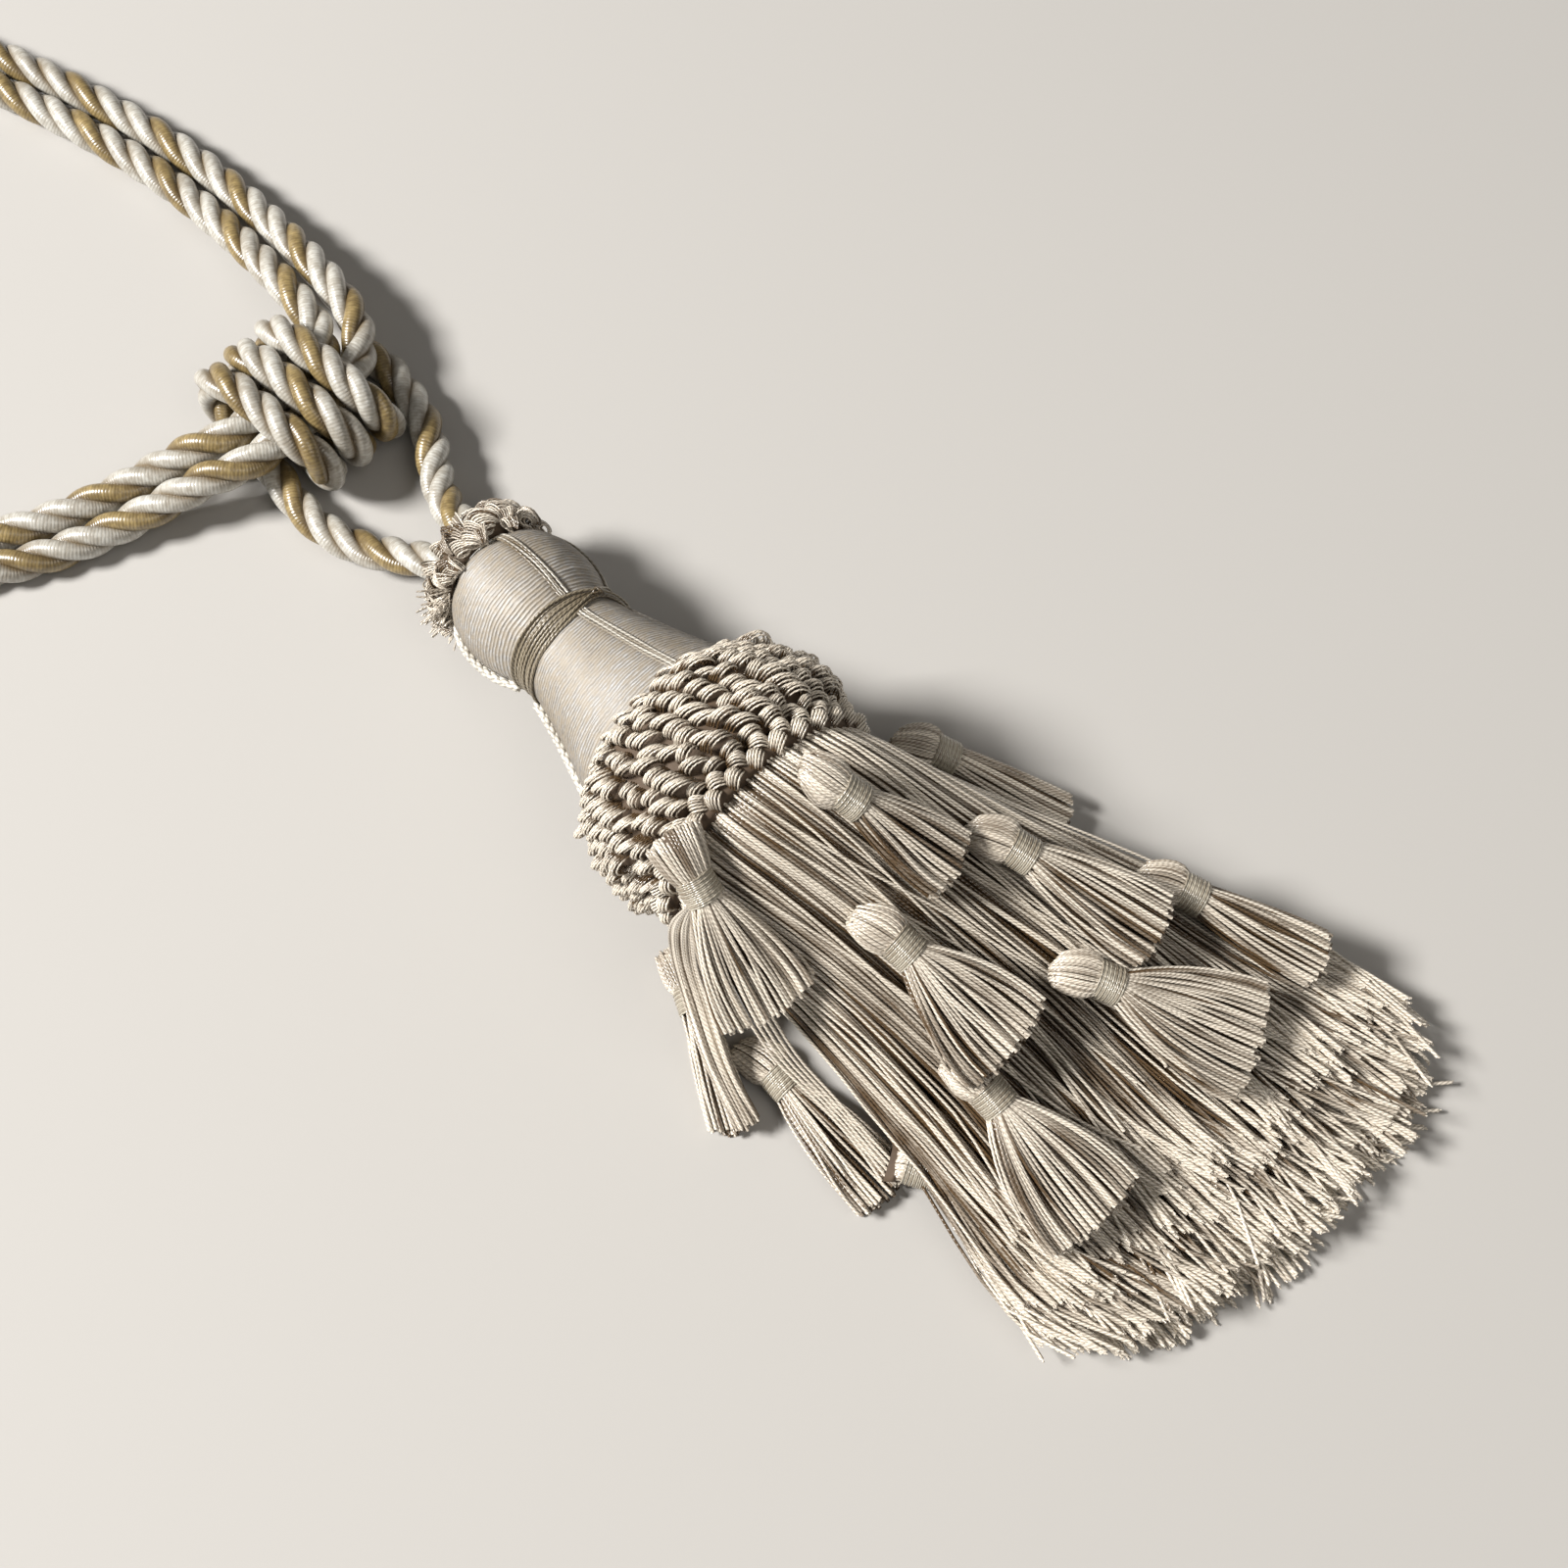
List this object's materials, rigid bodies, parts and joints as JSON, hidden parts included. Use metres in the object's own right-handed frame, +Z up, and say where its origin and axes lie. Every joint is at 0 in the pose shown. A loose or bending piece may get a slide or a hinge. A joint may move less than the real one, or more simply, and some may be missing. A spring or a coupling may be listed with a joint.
{
  "type": "curtain tieback tassel",
  "caption": "Curtain tieback tassel with a yarn-wound mould, looped collar, long cut fringe and small tassels, on a doubled twisted rope with a wound knot and hook loops.",
  "frame": {"origin": "middle of the tassel's footprint on the table, its ropes left out", "axes": "+X along the tassel from its head to its skirt, +Z up from the table it lies on, +Y across it"},
  "size_m": [0.4853, 0.1873, 0.0551],
  "materials": {
    "wound_yarn": "silky wound viscose yarn",
    "yarn": "champagne viscose yarn with a soft sheen",
    "thread": "fine twisted thread",
    "rope": "satin wound strands, two ivory and one gold"
  },
  "bodies": {
    "root": {"collar_braid": "yarn", "embrace_rope": "rope", "head_ruff": "yarn", "loop_collar": "yarn", "neck_binding": "thread", "side_cord_bell_1": "thread", "side_cord_bell_2": "thread", "side_cord_bell_3": "thread", "side_cord_bell_4": "thread", "side_cord_head_1": "thread", "side_cord_head_2": "thread", "side_cord_head_3": "thread", "side_cord_head_4": "thread", "skirt_fringe": "yarn", "small_tassel_a": "yarn", "small_tassel_b": "yarn", "small_tassel_c": "yarn", "small_tassel_d": "yarn", "small_tassel_e": "yarn", "small_tassel_f": "yarn", "small_tassel_g": "yarn", "small_tassel_h": "yarn", "small_tassel_i": "yarn", "small_tassel_j": "yarn", "tassel_rope": "rope", "wound_mould": "wound_yarn"}
  },
  "joints": []
}
